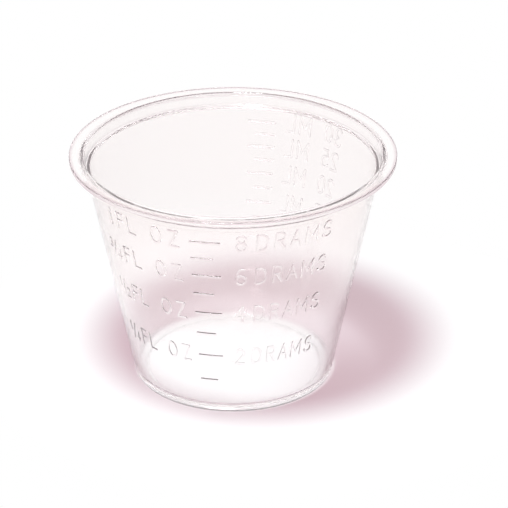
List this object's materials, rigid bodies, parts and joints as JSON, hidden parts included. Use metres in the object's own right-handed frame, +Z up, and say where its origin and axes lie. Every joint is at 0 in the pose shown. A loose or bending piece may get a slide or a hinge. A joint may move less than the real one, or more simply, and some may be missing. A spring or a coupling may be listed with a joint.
{
  "type": "medicine cup",
  "caption": "Small tapered medicine cup moulded in one piece from thin translucent plastic, with a flanged lip, a stacking ledge and raised marks for reading a dose.",
  "frame": {"origin": "centre of the standing ring, on the surface that the cup stands on", "axes": "+Z up along the cup's axis; -Y towards the ounce and dram scale, +Y towards the millilitre scale, +X to the right of the ounce scale's reader"},
  "size_m": [0.0484, 0.0484, 0.0357],
  "materials": {
    "translucent_plastic": "satin, translucent"
  },
  "bodies": {
    "root": {"cup": "translucent_plastic"}
  },
  "joints": []
}
